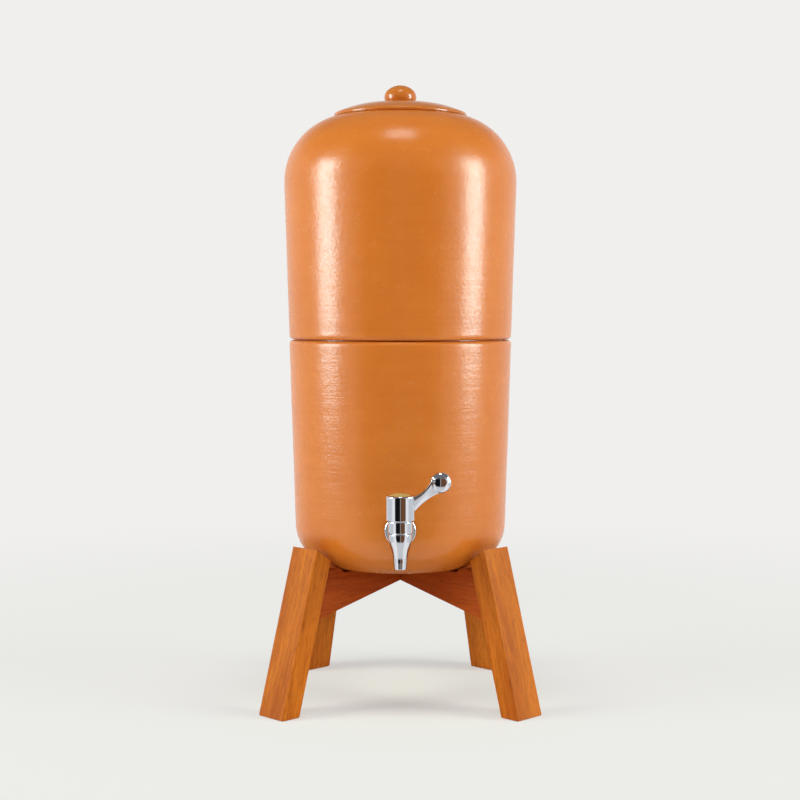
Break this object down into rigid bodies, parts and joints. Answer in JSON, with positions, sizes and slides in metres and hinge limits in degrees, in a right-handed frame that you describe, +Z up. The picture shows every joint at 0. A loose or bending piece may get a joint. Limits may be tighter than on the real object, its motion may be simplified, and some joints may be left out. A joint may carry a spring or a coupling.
{
  "type": "gravity water filter with tap",
  "caption": "Two stacked clay vessels with a lid, a lever tap low on the front and a splayed wooden stand; filters water by gravity and dispenses it.",
  "frame": {"origin": "on the floor, at the middle of the object's bounding box", "axes": "+Z up, -Y towards the tap and the viewer, +X to the viewer's right"},
  "size_m": [0.2682, 0.2793, 0.6065],
  "materials": {
    "clay": "satin-varnished terracotta",
    "leg_wood": "satin-varnished, orange-brown",
    "board_wood": "satin-varnished, reddish brown",
    "dowel_wood": "plain hardwood",
    "chrome": "polished",
    "brass": "machined",
    "gold_disc": "polished",
    "steel": "machined",
    "black_rubber": "matte",
    "white_ceramic": "unglazed, chalky",
    "carbon": "pressed carbon",
    "white_plastic": "moulded",
    "blue_plastic": "moulded",
    "grey_rubber": "matte"
  },
  "bodies": {
    "stand": {"leg_front_left": "leg_wood", "leg_front_right": "leg_wood", "leg_rear_left": "leg_wood", "leg_rear_right": "leg_wood", "cross_board_lower": "board_wood", "cross_board_upper": "board_wood", "board_dowels": "dowel_wood"},
    "lower_vessel": {"lower_pot": "clay", "tap_flange": "chrome", "tap_outer_washer": "black_rubber", "tap_inner_washer": "black_rubber", "tap_nut": "chrome", "tap_body": "chrome", "tap_bonnet": "brass"},
    "handle": {"tap_handle": "chrome", "tap_spindle": "brass", "tap_o_rings": "black_rubber", "tap_cap_disc": "gold_disc", "tap_handle_screw": "steel"},
    "upper_vessel": {"upper_pot": "clay", "candle_shell": "white_ceramic", "candle_core": "carbon", "candle_base": "white_plastic", "candle_upper_washer": "black_rubber", "candle_lower_washer": "black_rubber", "candle_wing_nut": "white_plastic", "float_housing": "white_plastic", "float_pin": "steel"},
    "lid_cover": {"lid": "clay"},
    "float_lever": {"float_arm": "white_plastic", "float_ball": "blue_plastic"},
    "stopper": {"float_plunger": "grey_rubber"}
  },
  "joints": [
    {"name": "lower_pot_lift", "type": "slide", "parent": "stand", "child": "lower_vessel", "axis": [0, 0, 1], "range_m": [0, 0.08]},
    {"name": "upper_pot_lift", "type": "slide", "parent": "lower_vessel", "child": "upper_vessel", "axis": [0, 0, 1], "range_m": [0, 0.15]},
    {"name": "lid_lift", "type": "slide", "parent": "upper_vessel", "child": "lid_cover", "axis": [0, 0, 1], "range_m": [0, 0.06]},
    {"name": "tap_handle_turn", "type": "hinge", "parent": "lower_vessel", "child": "handle", "pos_m": [0, -0.1267, 0.2], "axis": [0, 0, -1], "range_deg": [0, 90]},
    {"name": "float_swing", "type": "hinge", "parent": "upper_vessel", "child": "float_lever", "pos_m": [-0.006, 0.0133, 0.296], "axis": [0, -1, 0], "range_deg": [0, 45]},
    {"name": "float_plunger_slide", "type": "slide", "parent": "upper_vessel", "child": "stopper", "axis": [0, 0, 1], "range_m": [0, 0.0046]}
  ],
  "couplings": [
    {"joint": "float_plunger_slide", "follows": "float_swing", "m_per_rad": 0.005855}
  ]
}
